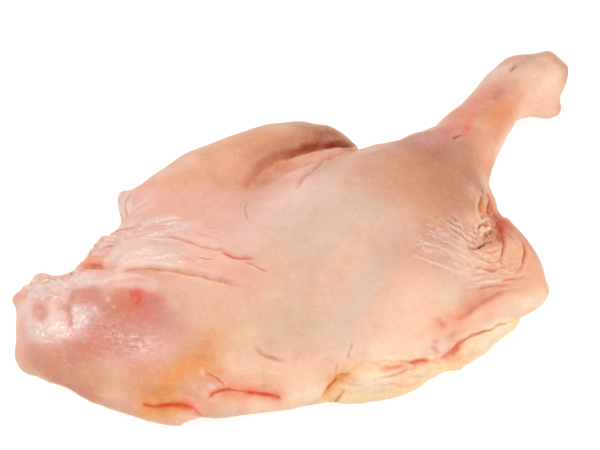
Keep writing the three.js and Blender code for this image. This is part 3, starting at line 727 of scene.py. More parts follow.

# Strokes that are laid over the folds, most of them thin; among them are painted shade, painted glints and a
# painted sheen
FINE_STROKES = marks(Stroke, [
    ("184,405 196,408 206,406", 3, SHRIMP, 0.5),
    ("222,386 232,388", 2.5, SHRIMP, 0.5),
    ("206,373 214,377 222,383", 0.6, CORAL, 0.5, 0.8),
    ("145,404 156,406 168,405", 0.8, EMBER, 0.9),
    ("162,405 184,405", 1.7, EMBER, 0.6, 0.8),
    ("168,405 180,405 190,407", 0.8, FLAME, 0.95),
    ("211,395 214,392 227,389", 0.8, FLAME, 0.9, 0.5),
    ("228,389 240,391 251,392", 0.6, CORAL, 0.7, 0.8),
    ("248,392 258,393 268,394 278,396", 0.8, FLAME, 0.95),
    # Painted glints on the near edge
    ("201,371 202,373", 0.8, PEARL, 0.6, 0.4),
    ("209,384 212,386", 0.8, PEARL, 0.6, 0.4),
    ("203,393 205,394", 0.7, PEARL, 0.5, 0.4),
    ("107,298", 0.8, BUTTER, 0.4, 0.8),
    ("113,306", 0.7, BUTTER, 0.35, 0.8),
    # Painted shade under the lobe
    ("304,147 318,144", 2, RUST, 0.9),
    ("326,390 331,383 336,379", 1.4, AMBER, 0.9, 0.8),
    ("330,378 340,372", 2, OCHRE, 0.5, 0.8),
    ("182,405 191,407 201,415", 1.2, CORAL, 0.6, 0.8),
    ("446,356 453,350 459,343", 0.7, FLAME, 0.8, 0.8),
    ("450,354 456,349 459,344", 1.5, SHRIMP, 0.6, 0.8),
    ("414,363 418,361 422,359 426,360", 0.9, CORAL, 0.7, 0.8),
    ("376,360 390,359 404,359", 1.4, BUTTER, 0.5, 0.8),
    ("352,377 362,368 370,365", 2.4, APRICOT, 0.4, 0.8),
    ("440,346 450,343", 2, BUTTER, 0.4, 0.8),
    ("450,359 459,358", 1.8, SHRIMP, 0.5, 0.8),
    ("461,339 470,334", 1.6, CREAM, 0.6, 0.8),
    ("386,366 393,367 400,365", 0.6, CORAL, 0.5, 1),
    ("224,253 234,258 242,259", 0.6, EMBER, 0.5, 0.8),
    ("84,262 90,263 97,265", 1.4, AMBER, 0.5),
    ("91,254 98,254", 1.8, PALE, 0.5),
    ("79,265 87,262", 2.2, CREAM, 0.6),
    ("102,266 112,267", 1.8, SALMON, 0.45),
    ("86,266 95,267 102,267", 0.6, EMBER, 0.5),
    ("486,196 490,205 488,212", 0.8, EMBER, 0.7, 1),
    # Painted shade in the gather's crevices and under the gather's lip on the flap
    ("468,248 474,249 482,246 490,242", 0.5, RUST, 0.35, 0.8),
    ("498,217 500,224 502,231", 0.9, BLOOD, 0.7, 0.8),
    ("493,219 495,228 497,238", 3, SIENNA, 0.95, 0.8),
    ("494,222 496,231", 1.6, EMBER, 0.35, 0.8),
    ("483,208 488,216", 2.4, SIENNA, 0.4, 0.8),
    ("480,247 490,243", 2.2, SIENNA, 0.45, 0.8),
    ("438,320 443,325", 1.1, MUSCLE, 0.55, 1.2),
    ("448,336 453,334", 1, CORAL, 0.5, 1.2),
    ("432,347 437,350", 0.9, MUSCLE, 0.5, 1.2),
    ("434,341 436,342", 0.9, CORAL, 0.5, 1.2),
    ("466,126 467,129", 0.7, MUSCLE, 0.6),
    ("530,105 540,101 548,98 557,99", 0.5, SALMON, 0.3, 1),
    ("536,110 546,106 553,108", 0.5, SALMON, 0.25, 1),
    ("327,388 331,383 335,379", 0.8, EMBER, 0.6, 0.8),
    ("335,402 338,396 343,391", 0.6, AMBER, 0.7, 0.8),
    ("462,341 470,336 482,332", 0.6, AMBER, 0.6, 0.8),
    ("205,152 225,145 245,138", 4, UMBER, 0.35),
    ("160,173 175,165 188,160", 4, PALE, 0.45),
    ("519,65 530,63 541,65", 4, ASH, 0.6),
    ("553,80 556,92", 4, BUTTER, 0.4),
    # A painted wet sheen on the left end
    ("36,330 50,334 70,318 90,315", 4.2, PEARL, 0.22, 0.7, 0, 4),
    ("150,232 185,205 232,185 240,212", 14, DUSK, 0.28),
    ("84,346 98,338", 3.5, SALMON, 0.35),
    ("40,304 46,308", 2.6, SALMON, 0.4),
    ("172,322 180,330", 4, LILAC, 0.35),
    ("484,179 486,190", 3, CREAM, 0.5),
    ("203,412 210,416", 2.5, APRICOT, 0.5),
    ("152,308 160,318", 3, MADDER, 0.5),
    ("262,394 275,395", 0.7, EMBER, 0.5, 0.5),
    ("172,404 187,406", 0.8, EMBER, 0.5, 0.5),
    ("203,306 220,297", 8, DUSK, 0.25),
    ("92,275 100,274", 3, ROSE, 0.4),
    ("52,380 66,386 80,392", 3.5, MADDER, 0.4),
    ("440,356 448,357", 2, CREAM, 0.4),
    ("280,167 290,163", 2, UMBER, 0.5),
    ("300,157 310,154", 1.6, ROSE, 0.4),
    ("166,391 171,380 178,371 186,366 197,362", 2.6, OCHRE, 0.45, 0.9),
    ("198,357 204,352 206,342", 2.2, AMBER, 0.3, 0.9),
    ("196,358 202,356", 1.2, UMBER, 0.5, 0.9),
    ("146,414 158,414 170,415", 2.6, OCHRE, 0.4, 0.8),
    ("174,417 182,421", 2.4, APRICOT, 0.5),
    ("148,264 158,266", 2.2, PALE, 0.45),
    ("72,336 82,334", 2.4, PALE, 0.4, 0.8),
    ("62,314 67,318", 2.2, ROSE, 0.45, 0.8),
    ("275,176 287,173", 2, BLUSH, 0.6),
    ("384,290 398,280", 3.5, TAN, 0.35),
    ("508,286 524,286", 2.4, TAN, 0.6),
    ("526,291 536,289", 2.4, APRICOT, 0.4),
    ("502,77 509,73", 2.4, DUSK, 0.4),
    ("164,250 178,250", 3, ASH, 0.35),
    ("310,397 318,392", 2.4, BUTTER, 0.5),
    ("410,377 419,373", 2, BUTTER, 0.5),
    ("123,203 127,208", 2, PEARL, 0.45),
    ("268,316 282,313", 4, TAN, 0.3),
    # Painted wet sheen on the left end
    ("30,320 36,327 46,334 56,336", 2.4, PEARL, 0.3, 1),
    ("74,308 79,316 80,324", 2.4, PEARL, 0.35, 1),
    ("52,306 58,316", 2.6, PEARL, 0.35, 1),
    ("30,304 28,312", 2, PEARL, 0.35, 1),
    ("66,306 68,314 70,325", 1.1, SALMON, 0.55),
    ("60,308 66,307", 1.4, UMBER, 0.55, 0.8),
    ("48,297 50,294", 1.3, SALMON, 0.5, 0.8),
    ("43,322 44,324", 0.8, SALMON, 0.5, 0.8),
    ("49,319", 0.7, SALMON, 0.5, 0.8),
    ("54,285 58,286", 1.2, SALMON, 0.4, 0.8),
    ("84,293 89,294", 2, SALMON, 0.5, 0.8),
    ("17,301 24,296", 1.8, SHRIMP, 0.5),
    ("85,265 93,266 102,267", 0.7, EMBER, 0.4, 0.8),
    ("84,262 92,261 100,261", 1.3, APRICOT, 0.6),
    ("127,269 138,269 150,269 160,271", 1.1, SALMON, 0.5, 0.5),
    # A painted highlight along the glossy lip
    ("100,281 110,277 124,275 140,276 156,281", 0.9, PALE, 0.5, 0.8),
    ("142,274 156,276 170,277", 1.6, DUSK, 0.45),
    ("108,393 120,397", 3, CREAM, 0.4),
    ("240,336 250,334", 3.5, CREAM, 0.4),
    ("200,276 210,275", 2.4, PALE, 0.35),
    ("121,226 130,223", 2, PALE, 0.4),
    ("140,336 150,334", 3, MADDER, 0.3),
    # Painted shade under the gather's lip
    ("492,224 497,229", 1.6, SIENNA, 0.5, 0.8),
    ("503,236 508,233", 1.6, SALMON, 0.4),
    ("350,368 360,363", 2.2, AMBER, 0.15),
    ("121,304 138,306", 2.8, SIENNA, 0.3),
    ("82,327 87,335", 2, ROSE, 0.35, 0.8),
    ("34,313 39,317", 1.8, SALMON, 0.35, 0.8),
    ("130,270 144,270 156,271", 1.2, UMBER, 0.5, 0.5),
    ("498,217 502,223", 1.8, CORAL, 0.4, 0.8),
    ("487,198 490,206 487,214", 1.1, CORAL, 0.5, 0.8),
    ("478,208 483,206", 1.2, AMBER, 0.5, 0.8),
    ("530,104 545,104 556,108", 3.6, BLUSH, 0.4),
    ("557,105 558,111", 1.2, CORAL, 0.45),
    ("495,96 500,91", 1.6, MADDER, 0.45),
    # Painted shade in the furrow below the lobe
    ("246,187 254,178 264,171 274,166", 1.6, SIENNA, 0.35),
    ("284,176 294,171", 2, BLUSH, 0.45),
    ("320,368 330,362", 2.4, DUSK, 0.35),
    ("84,265 88,266", 1.4, APRICOT, 0.45),
    ("502,140 507,132", 2, CREAM, 0.45),
    # Painted shade under the gather's lip
    ("503,222 507,228", 1.8, SIENNA, 0.35, 0.8),
    ("484,213 487,217", 1.4, EMBER, 0.4, 0.8),
    ("453,352 457,348", 1, FLAME, 0.5),
    ("413,362 419,360 423,360", 0.8, FLAME, 0.45),
    ("282,178 290,173", 1.8, PALE, 0.35),
    ("280,157 290,153", 1.8, UMBER, 0.35),
    ("177,305 180,296 192,290", 5, GREY, 0.3),
    ("262,272 280,268", 5, TAN, 0.25),
    ("184,350 198,348", 4, UMBER, 0.3),
    ("487,156 494,146", 3, CREAM, 0.35),
    ("302,372 318,366", 4, CREAM, 0.35),
    ("282,388 296,386", 3.5, APRICOT, 0.3),
    ("362,332 380,328", 4, PEACH, 0.35),
    ("464,330 476,325", 3, CREAM, 0.35),
    ("170,324 180,327", 3, UMBER, 0.3),
    ("150,308 157,316", 2.4, SALMON, 0.3),
])

# Places that shine
WET = marks(Stroke, [
    ("36,326 54,330 78,319", 5.5, None, 0.68, 0.9, 0, 3),
    ("64,313 76,308 92,311", 3.5, None),
    ("114,336 130,342 155,348", 5, None, 0.5),
    ("32,292 60,290 92,281", 5, None, 0.85),
    ("98,281 125,277 152,281", 2.2, None, 0.4),
    ("100,248 130,236 165,232", 6, None),
    ("140,226 160,221 182,226", 4, None, 0.9),
    ("120,260 150,254 180,256", 5, None, 0.5),
    ("430,240 465,250 490,270", 9, None, 0.5),
    ("330,395 390,385 450,360 510,325", 6, None, 0.35),
    ("215,385 250,388 285,392", 5, None, 0.5),
])

# Dents that don't shine
DRY = marks(Stroke, [
    ("37,307 41,312", 2.4, None, 0.8),
    ("61,303 66,308", 1.8, None),
    ("68,311 71,326", 0.9, None),
    ("78,295 92,291", 3, None, 0.9),
])


def linear(colour):
    """A screen colour as linear light."""
    share = np.asarray(colour) / 255
    return np.where(share <= 0.04045, share / 12.92, ((share + 0.055) / 1.055) ** 2.4)


def taper(share, length):
    """0 at a line's ends, and 1 from a length of its share on."""
    return np.clip(np.minimum(share, 1 - share) / length, 0, 1) ** TAPER_POWER


def camera_axes():
    """Right, up and back of the camera."""
    right = Vector((math.cos(CAMERA_AZIMUTH), math.sin(CAMERA_AZIMUTH), 0))
    level = math.cos(CAMERA_ELEVATION)
    back = Vector((
        math.sin(CAMERA_AZIMUTH) * level,
        -math.cos(CAMERA_AZIMUTH) * level,
        math.sin(CAMERA_ELEVATION),
    ))
    return right, back.cross(right), back


def even_copy(solid):
    """A copy of the solid with small, even faces and without its facets."""
    piece = bpy.data.objects.new("goose_leg_skin", solid.data.copy())
    bpy.context.scene.collection.objects.link(piece)
    remesh = piece.modifiers.new("even faces", "REMESH")
    remesh.mode = "VOXEL"
    remesh.voxel_size = VOXEL * MM
    graph = bpy.context.evaluated_depsgraph_get()
    mesh = bpy.data.meshes.new_from_object(piece.evaluated_get(graph))
    piece.modifiers.clear()
    piece.data = mesh
    set_points(mesh, smoothed(mesh, EVEN_ROUNDS))
    return piece


def split_faces(mesh, chosen):
    """Splits the faces between chosen vertices into four."""
    shape = bmesh.new()
    shape.from_mesh(mesh)
    edges = [e for e in shape.edges if chosen[e.verts[0].index] and chosen[e.verts[1].index]]
    bmesh.ops.subdivide_edges(shape, edges=edges, cuts=1, use_grid_fill=True)
    shape.to_mesh(mesh)
    shape.free()
    set_points(mesh, smoothed(mesh, SPLIT_ROUNDS))


def get_points(mesh):
    """The mesh's vertices, in mm."""
    flat = np.empty(3 * len(mesh.vertices))
    mesh.vertices.foreach_get("co", flat)
    return flat.reshape(-1, 3) / MM


def set_points(mesh, points):
    """Moves the mesh's vertices to points in mm, none below the table."""
    points = points.copy()
    points[:, 2] = np.maximum(points[:, 2], 0)
    mesh.vertices.foreach_set("co", (points * MM).ravel())
    mesh.update()


def averaged(mesh, values, shares):
    """Values of the mesh's vertices, moved towards their neighbours' mean by one share after another."""
    ends = np.empty(2 * len(mesh.edges), dtype=np.int64)
    mesh.edges.foreach_get("vertices", ends)
    here = np.concatenate([ends[0::2], ends[1::2]])
    there = np.concatenate([ends[1::2], ends[0::2]])
    count = np.maximum(np.bincount(here, minlength=len(values)), 1)
    columns = [column.copy() for column in np.atleast_2d(values.T)]
    for share in shares:
        for column in columns:
            column += share * (np.bincount(here, column[there], len(values)) / count - column)
    return np.array(columns).T.reshape(values.shape)


def smoothed(mesh, rounds):
    """The mesh's points, moved towards their neighbours and out again, so that little shrinks."""
    return averaged(mesh, get_points(mesh), [SMOOTH_IN, SMOOTH_OUT] * rounds)


class Skin:
    """The leg's skin as arrays: where its vertices are, their normals, and what is laid on them."""

    def __init__(self, mesh):
        self.mesh = mesh
        self.points = get_points(mesh)
        normals = np.empty(3 * len(self.points))
        mesh.vertex_normals.foreach_get("vector", normals)
        self.normals = normals.reshape(-1, 3)
        self.tree = BVHTree.FromPolygons(self.points.tolist(), [p.vertices[:] for p in mesh.polygons])
        self.everywhere = np.arange(len(self.points))
        self.lift = np.zeros(len(self.points))
        self.tint = np.tile(linear(PEACH), (len(self.points), 1))
        self.wet = np.zeros(len(self.points))
        self.seam = np.full(len(self.points), SEAM_FAR)
        self.seam_weight = np.zeros(len(self.points))
        self.pleat = np.zeros((len(self.points), 3))

    def seen_at(self, pixel):
        """The point of the skin that the photo shows at a pixel, or the closest to its line of sight."""
        right, up, back = camera_axes()
        focus = PHOTO_SIZE[0] * CAMERA_LENS / CAMERA_SENSOR
        across = pixel[0] + HALF_PIXEL - PHOTO_SIZE[0] / 2
        down = pixel[1] + HALF_PIXEL - PHOTO_SIZE[1] / 2
        ray = (right * across - up * down - back * focus).normalized()
        eye = CAMERA_TARGET + back * CAMERA_DISTANCE
        point = self.tree.ray_cast(eye, ray)[0]
        if point is None:
            found = [self.beside_ray(eye, ray, start) for start in SIGHT_STARTS]
            point = min(found, key=lambda pair: pair[1])[0]
        return point

    def beside_ray(self, eye, ray, start):
        """The point of the skin closest to a ray, searched from a distance on it, and its gap."""
        point = eye + ray * start
        for _ in range(SIGHT_ROUNDS):
            point, _, _, gap = self.tree.find_nearest(eye + ray * ray.dot(point - eye))
        return point, gap

    def path(self, line, spacing):
        """Points of the skin along a smooth line through pixels."""
        knots = np.array([line[0], *line, line[-1]], dtype=float)
        spots = [knots[1]]
        for a, b, c, d in zip(knots, knots[1:], knots[2:], knots[3:]):
            steps = max(1, round(np.linalg.norm(c - b) * PIXEL_ON_SKIN / spacing))
            bend = 2 * a - 5 * b + 4 * c - d
            twist = 3 * b - a - 3 * c + d
            for t in np.arange(1, steps + 1) / steps:
                spots.append((2 * b + (c - a) * t + bend * t**2 + twist * t**3) / 2)
        return np.array([self.seen_at(spot) for spot in spots])

    def beside(self, line, reach, spacing=LINE_STEP):
        """Vertices within reach of a line: their numbers, distances, sides and shares of its length.

        A side is 1 on the left of the line's way and -1 on its right.
        """
        path = self.path(line, spacing)
        above_least = self.points > path.min(axis=0) - reach
        below_most = self.points < path.max(axis=0) + reach
        near = np.flatnonzero((above_least & below_most).all(axis=1))
        offset = self.points[near][:, None] - path[None]
        gap = np.linalg.norm(offset, axis=2)
        nearest = gap.argmin(axis=1)
        rows = np.arange(len(near))
        way = np.gradient(path, axis=0) if len(path) > 1 else np.zeros((1, 3))
        left = np.cross(self.normals[near], way[nearest])
        side = np.where((left * offset[rows, nearest]).sum(axis=1) >= 0, 1, -1)
        gap = gap[rows, nearest]
        kept = gap < reach
        share = nearest / max(1, len(path) - 1)
        return near[kept], gap[kept], side[kept], share[kept]

    def wobble(self, size, seed, which=slice(None)):
        """Smooth noise from -1 to 1 over the skin, with lumps of a size."""
        shift = Vector([seed * step for step in SEED_SHIFT])
        return np.array([noise.noise(Vector(p) / size + shift) for p in self.points[which].tolist()])

    def press(self, crease, seed):
        """Presses one crease into the skin, tints it with its colour and painted shade, with a painted
        highlight on a ridge, and notes where its thin line runs.
        """
        reach = CREASE_REACH * crease.width * math.sqrt(crease.slope)
        reach += CREASE_MARGIN + SHADE_REACH * crease.shade
        near, gap, side, share = self.beside(crease.line, reach)
        across = gap * side + crease.waver * self.wobble(WAVER_SIZE, seed, near)
        gap = np.abs(across)
        side = np.sign(across)
        uneven = UNEVEN_MEAN + UNEVEN_SWING * self.wobble(UNEVEN_SIZE, seed + UNEVEN_SEED, near)
        uneven = taper(share, CREASE_TAPER) * np.clip(uneven, *UNEVEN_SPAN)
        across = np.where(side > 0, across / crease.slope, across)
        away = np.abs(across) / crease.width
        groove = np.exp(-(away**2))
        banks = np.exp(-(((away - BANK_AT) / BANK_WIDTH) ** 2))
        drop = np.tanh(STEP_STEEP * side * away) * np.exp(-((gap / (STEP_REACH * reach)) ** 2))
        self.lift[near] += uneven * (crease.lip * banks - crease.depth * groove + crease.step * drop / 2)
        # The crease's colour: the skin's own in slits, painted shade in a groove and over its left bank, a
        # painted highlight on a ridge
        if crease.stain_and_painted_light:
            spread = np.where(side > 0, max(crease.shade, crease.width), STAIN_AND_PAINTED_LIGHT_RIGHT * crease.width)
            self.colour(near, crease.stain_and_painted_light, crease.strength * uneven * np.exp(-((gap / spread) ** 2)))
        closer = np.abs(across) < np.abs(self.seam[near])
        # The thin line is full as far as the fade's length from the middle, and gone at twice that
        fade = np.clip(2 - np.abs(across) / SEAM_FADE, 0, 1)
        weight = np.sign(crease.depth) * crease.strength * uneven * fade
        self.seam[near[closer]] = across[closer]
        self.seam_weight[near[closer]] = weight[closer]

    def wrinkle(self, zone, seed):
        """Presses a zone of small ridges into the skin, and notes how they run for the finer ones."""
        near, gap, side, share = self.beside(zone.line, zone.radius, WRINKLE_STEP)
        fade = (1 - (gap / zone.radius) ** 2) * taper(share, WRINKLE_TAPER)
        length = np.linalg.norm(np.diff(self.path(zone.line, WRINKLE_STEP), axis=0), axis=1).sum()
        across = gap * side + SWAY * self.wobble(SWAY_SIZE, seed, near)
        along = share * length / zone.stretch + DRIFT * self.wobble(DRIFT_SIZE, seed + 1, near)
        runs = np.column_stack([across, along, fade])
        spots = [(a / zone.spacing, b / zone.spacing, seed) for a, b, _ in runs.tolist()]
        ridges = np.array([1 - RIDGE_STEEP * abs(noise.noise(spot)) for spot in spots])
        self.lift[near] += zone.sharp * zone.height * fade * ridges
        stronger = fade > self.pleat[near, 2]
        self.pleat[near[stronger]] = runs[stronger]

    def swell(self, lump):
        """Swells the skin along a line."""
        near, gap, _, _ = self.beside(lump.line, LUMP_REACH * lump.radius)
        self.lift[near] += lump.height * np.exp(-((gap / lump.radius) ** 2))

    def near_folds(self):
        """Which vertices lie close to a crease or in the middle of wrinkles."""
        chosen = np.zeros(len(self.points), dtype=bool)
        for crease in CREASES:
            chosen[self.beside(crease.line, FINE_BESIDE)[0]] = True
        for zone in WRINKLES:
            chosen[self.beside(zone.line, FINE_MIDDLE * zone.radius)[0]] = True
        return chosen

    def colour(self, near, colour, share):
        """Mixes a share of a screen colour into the skin."""
        share = np.clip(share, 0, 1)[:, None]
        self.tint[near] += share * (linear(colour) - self.tint[near])

    def stroke_share(self, stroke, seed):
        """The vertices that a stroke covers, and how much it covers them."""
        spacing = LINE_STEP if stroke.side else max(LINE_STEP, STROKE_STEP * stroke.radius)
        near, gap, side, _ = self.beside(stroke.line, STROKE_REACH * stroke.radius, spacing)
        size = max(RAGGED_LEAST, RAGGED_SIZE * stroke.radius)
        blur = stroke.ragged * self.wobble(size, seed, near)
        share = stroke.strength * np.exp(-((gap / stroke.radius) ** stroke.edge) * (1 + blur))
        share = share * (1 + RAGGED_TINT * blur)
        return near, np.where(side == -stroke.side, share * np.exp(-((gap / STROKE_EDGE) ** 2)), share)

    def paint(self, strokes, first_seed):
        """Lays strokes of colour on the skin, one over the other."""
        for seed, stroke in enumerate(strokes, first_seed):
            near, share = self.stroke_share(stroke, seed)
            self.colour(near, stroke.colour, share)

    def shade_relief(self):
        """Darkens and reddens the hollows of what was pressed in as painted shade, and pales its crests as a
        painted highlight.
        """
        relief = self.lift - averaged(self.mesh, self.lift, [RELIEF_BLUR] * RELIEF_ROUNDS)
        hollow = np.clip(-relief / RELIEF_FULL, 0, 1)[:, None]
        self.tint *= 1 - hollow * PAINTED_HOLLOW_SHADE
        self.colour(self.everywhere, BUTTER, PAINTED_CREST_HIGHLIGHT * np.clip(relief / RELIEF_FULL, 0, 1))

    def lay(self):
        """Moves the mesh by what was pressed in, and stores what its material needs."""
        set_points(self.mesh, self.points + self.lift[:, None] * self.normals)
        tint = self.mesh.attributes.new("tint", "FLOAT_COLOR", "POINT")
        tint.data.foreach_set("color", np.column_stack([self.tint, np.ones(len(self.tint))]).ravel())
        for name, values in (("wet", self.wet), ("seam", self.seam), ("seam_weight", self.seam_weight)):
            kept = self.mesh.attributes.new(name, "FLOAT", "POINT")
            kept.data.foreach_set("value", values)
        pleat = self.mesh.attributes.new("pleat", "FLOAT_VECTOR", "POINT")
        pleat.data.foreach_set("vector", self.pleat.ravel())
        self.mesh.shade_smooth()


def dress(skin):
    """Colours the skin, presses its folds in and wets it."""
    below = np.clip(-BELOW_GAIN * skin.normals[:, 2] - BELOW_CUT, 0, 1)
    skin.lift -= BELOW_DEPTH * below * np.clip(skin.wobble(BELOW_SIZE, BELOW_SEED) + BELOW_RAISE, 0, 1)
    for blotches in BLOTCHES:
        share = blotches.gain * skin.wobble(blotches.size, blotches.seed) + blotches.shift
        share = np.clip(share, 0, blotches.most)
        skin.colour(skin.everywhere, blotches.colour, below * share if blotches.below else share)
    skin.paint(STROKES, STROKE_SEED)
    for seed, zone in enumerate(WRINKLES, WRINKLE_SEED):
        skin.wrinkle(zone, seed)
    for seed, crease in enumerate(CREASES, CREASE_SEED):
        skin.press(crease, seed)
    for seed, stroke in enumerate(WET, WET_SEED):
        near, share = skin.stroke_share(stroke, seed)
        skin.wet[near] = np.maximum(skin.wet[near], share)
    for seed, stroke in enumerate(DRY, DRY_SEED):
        near, share = skin.stroke_share(stroke, seed)
        skin.wet[near] *= 1 - np.clip(share, 0, 1)
    skin.shade_relief()
    skin.paint(FINE_STROKES, FINE_SEED)
    for lump in LUMPS:
        skin.swell(lump)
    for seed, (size, height) in enumerate(SURFACE, SURFACE_SEED):
        skin.lift += height * skin.wobble(size, seed)


class Weave:
    """Makes the nodes of one material. A value is a node's output, a number or a colour."""

    def __init__(self, name):
        self.material = bpy.data.materials.new(name)
        self.material.use_nodes = True
        self.tree = self.material.node_tree
        self.shader = self.tree.nodes["Principled BSDF"].inputs
        self.place = self.tree.nodes.new("ShaderNodeTexCoord").outputs["Object"]

    def feed(self, socket, value):
        """Links a node's output to a socket, or sets a number or colour on it."""
        if isinstance(value, bpy.types.NodeSocket):
            self.tree.links.new(value, socket)
        else:
            socket.default_value = value

    def node(self, kind, output, values, **settings):
        """An output of a new node with settings, and with values fed to its sockets."""
        made = self.tree.nodes.new(kind)
        for name, setting in settings.items():
            setattr(made, name, setting)
        for socket, value in values.items():
            self.feed(made.inputs[socket], value)
        return made.outputs[output]

    def attribute(self, name, output="Fac"):
        """A value that is stored on the mesh."""
        return self.node("ShaderNodeAttribute", output, {}, attribute_name=name)

    def sum(self, operation, *values):
        """A sum of one to three values, such as ADD, POWER or MULTIPLY_ADD."""
        return self.node("ShaderNodeMath", "Value", dict(enumerate(values)), operation=operation)

    def lumps(self, place, scale=1.0, detail=NOISE_DETAIL, roughness=0.5):
        """Noise from 0 to 1 at a place."""
        values = {"Vector": place, "Scale": scale, "Detail": detail, "Roughness": roughness}
        return self.node("ShaderNodeTexNoise", "Fac", values)

    def noise(self, size, detail=NOISE_DETAIL, roughness=NOISE_ROUGHNESS):
        """Noise from 0 to 1 with lumps of a size in mm."""
        return self.lumps(self.place, 1 / (size * MM), detail, roughness)

    def streaks(self, size, length, angle):
        """Noise from 0 to 1 in streaks of a width and a length in mm, at an angle from the X axis."""
        scale = (length * MM, size * MM, size * MM)
        values = {"Vector": self.place, "Rotation": (0, 0, angle), "Scale": scale}
        turned = self.node("ShaderNodeMapping", "Vector", values, vector_type="TEXTURE")
        return self.lumps(turned)

    def cells(self, size):
        """Distance from the middle of the nearest of many cells, as a share of their size in mm."""
        return self.node("ShaderNodeTexVoronoi", "Distance", {"Vector": self.place, "Scale": 1 / (size * MM)})

    def span(self, value, low, high, start=0.0, end=1.0):
        """The value, smoothly taken from the span low to high to the span start to end."""
        values = {"Value": value, "From Min": low, "From Max": high, "To Min": start, "To Max": end}
        return self.node("ShaderNodeMapRange", "Result", values, interpolation_type="SMOOTHSTEP")

    def blend(self, share, under, over, kind="MIX"):
        """A share of one colour laid over another."""
        values = {"Factor": share, "A": under, "B": over}
        return self.node("ShaderNodeMix", "Result", values, data_type="RGBA", blend_type=kind)

    def pleats(self, name, spacing):
        """Uneven ridges from -1 to 1 that run as a stored vector says: across, along and how strongly."""
        parts = self.tree.nodes.new("ShaderNodeSeparateXYZ")
        self.feed(parts.inputs["Vector"], self.attribute(name, "Vector"))
        runs = {axis: self.sum("DIVIDE", parts.outputs[axis], spacing) for axis in ("X", "Y")}
        place = self.node("ShaderNodeCombineXYZ", "Vector", runs)
        ridge = self.sum("SUBTRACT", self.lumps(place, detail=PLEAT_DETAIL), NOISE_MIDDLE)
        ridge = self.sum("ABSOLUTE", ridge)
        ridge = self.sum("SUBTRACT", 1.0, self.sum("MULTIPLY", ridge, PLEAT_STEEP))
        return self.sum("MULTIPLY", self.sum("MAXIMUM", ridge, -1.0), parts.outputs["Z"])


def skin_material():
    """Moist raw skin: the laid tint with mottling, follicles, thin lines of painted shade and highlight along
    creases, painted highlights on pleat crests, and wet places with a painted sheen.
    """
    weave = Weave("raw_skin")
    for name, value in SKIN_SHADER.items():
        weave.feed(weave.shader[name], value)
    wet = weave.attribute("wet")
    seam = weave.sum("DIVIDE", weave.attribute("seam"), SEAM_LINE)
    line = weave.sum("EXPONENT", weave.sum("MULTIPLY", weave.sum("POWER", seam, 2.0), -1.0))
    line = weave.sum("MULTIPLY", line, weave.attribute("seam_weight"))
    # The thin line along each crease: painted shade in a groove, a painted highlight on a ridge
    painted_crease_shade = weave.sum("MAXIMUM", line, 0.0)
    painted_ridge_highlight = weave.sum("MAXIMUM", weave.sum("MULTIPLY", line, -RIDGE_HIGHLIGHT_SHARE), 0.0)
    pleats = weave.pleats("pleat", PLEAT_SPACING)
    follicles = weave.span(weave.cells(FOLLICLE_SIZE), *FOLLICLE_SPAN)
    streaks = weave.streaks(STREAK_SIZE, STREAK_LENGTH, STREAK_ANGLE)
    web = weave.span(weave.noise(WEB_SIZE, roughness=WEB_ROUGHNESS), *WEB_SPAN)

    colour = weave.attribute("tint", "Color")
    for size, detail, span, tint in MOTTLING:
        colour = weave.blend(weave.span(weave.noise(size, detail), *span), colour, tint, "MULTIPLY")
    for value, span, tint in (
        (weave.noise(FLECK_SIZE), FLECK_SPAN, FLECK_TINT),
        (streaks, STREAK_SPAN, STREAK_TINT),
        # A painted highlight on the pleats' crests
        (pleats, PLEAT_HIGHLIGHT_SPAN, PAINTED_PLEAT_HIGHLIGHT),
    ):
        colour = weave.blend(weave.span(value, *span), colour, tint)
    # A pale membrane with a painted sheen where the skin is wet
    milky_sheen = weave.sum("MULTIPLY", web, weave.span(wet, *MILKY_SHEEN_SPAN))
    colour = weave.blend(milky_sheen, colour, MILKY_SHEEN_TINT)
    colour = weave.blend(painted_ridge_highlight, colour, PAINTED_RIDGE_HIGHLIGHT)
    colour = weave.blend(painted_crease_shade, colour, PAINTED_SEAM_SHADE, "MULTIPLY")

    dull = weave.span(weave.noise(DULL_SIZE), *DULL_SPAN)
    rough = weave.sum("ADD", weave.span(wet, *ROUGH_SPAN), dull)
    glossy = weave.sum("MULTIPLY", weave.span(wet, *GLOSSY_SPAN), weave.span(web, *COAT_SPAN))

    height = weave.span(weave.cells(PORE_SIZE), *PORE_SPAN)
    for value, rise in (
        (weave.noise(GRAIN_SIZE), GRAIN_HEIGHT),
        (weave.sum("MULTIPLY", web, wet), WEB_HEIGHT),
        (streaks, STREAK_HEIGHT),
        (pleats, PLEAT_HEIGHT),
        (follicles, FOLLICLE_HEIGHT),
        (line, -SEAM_DEPTH),
    ):
        height = weave.sum("MULTIPLY_ADD", value, rise, height)
    bump = weave.node("ShaderNodeBump", "Normal", {"Strength": 1.0, "Distance": MM, "Height": height})

    weave.feed(weave.shader["Base Color"], colour)
    weave.feed(weave.shader["Roughness"], rough)
    weave.feed(weave.shader["Coat Weight"], glossy)
    weave.feed(weave.shader["Normal"], bump)
    weave.feed(weave.shader["Coat Normal"], bump)
    return weave.material


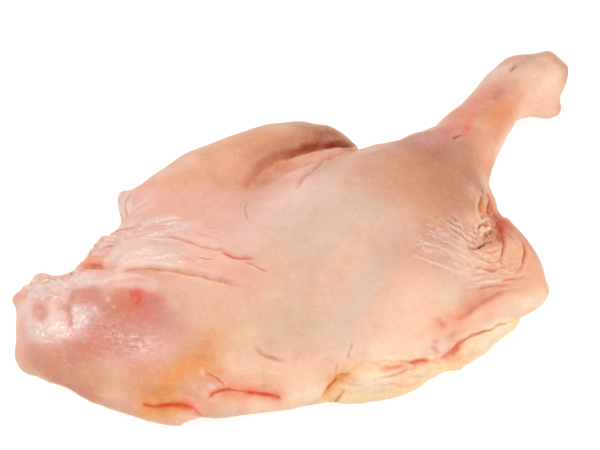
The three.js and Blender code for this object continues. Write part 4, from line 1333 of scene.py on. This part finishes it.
def goose_leg():
    """The leg's skin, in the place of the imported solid."""
    piece = even_copy(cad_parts["goose_leg"])
    split_faces(piece.data, get_points(piece.data)[:, 2] > FINE_ABOVE)
    split_faces(piece.data, Skin(piece.data).near_folds())
    skin = Skin(piece.data)
    dress(skin)
    skin.lay()
    piece.data.materials.clear()
    piece.data.materials.append(skin_material())
    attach(piece, "root")
    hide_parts("goose_leg")


def floor():
    """A wide, pale floor under the leg."""
    corners = [(x * FLOOR_HALF, y * FLOOR_HALF, FLOOR_DEPTH) for x, y in ((-1, -1), (1, -1), (1, 1), (-1, 1))]
    mesh = bpy.data.meshes.new("floor")
    mesh.from_pydata(corners, [], [(0, 1, 2, 3)])
    material = bpy.data.materials.new("pale_floor")
    material.use_nodes = True
    shader = material.node_tree.nodes["Principled BSDF"]
    for name, value in FLOOR_SHADER.items():
        shader.inputs[name].default_value = value
    mesh.materials.append(material)
    piece = bpy.data.objects.new("floor", mesh)
    bpy.context.scene.collection.objects.link(piece)


def area_light(name, place, size, power):
    """A square lamp that faces the leg."""
    lamp = bpy.data.lights.new(name, "AREA")
    lamp.size = size
    lamp.energy = power
    holder = bpy.data.objects.new(name, lamp)
    holder.location = place
    holder.rotation_euler = (-Vector(place)).to_track_quat("-Z", "Y").to_euler()
    bpy.context.scene.collection.objects.link(holder)


def studio():
    """Soft light from all round, and lamps from the near right, the near side, the left, above and behind."""
    world = bpy.data.worlds.new("studio")
    world.use_nodes = True
    sky = world.node_tree.nodes["Background"].inputs
    sky["Color"].default_value = (1, 1, 1, 1)
    sky["Strength"].default_value = SKY_STRENGTH
    bpy.context.scene.world = world
    for name, place, size, power in LAMPS:
        area_light(name, place, size, power)
    bpy.context.scene.view_settings.view_transform = "Standard"


def camera():
    """The photo's view."""
    data = bpy.data.cameras.new("camera")
    data.lens = CAMERA_LENS
    data.sensor_width = CAMERA_SENSOR
    holder = bpy.data.objects.new("camera", data)
    back = camera_axes()[2]
    holder.location = (CAMERA_TARGET + back * CAMERA_DISTANCE) * MM
    holder.rotation_euler = back.to_track_quat("Z", "Y").to_euler()
    bpy.context.scene.collection.objects.link(holder)
    bpy.context.scene.camera = holder


camera()
goose_leg()
floor()
studio()
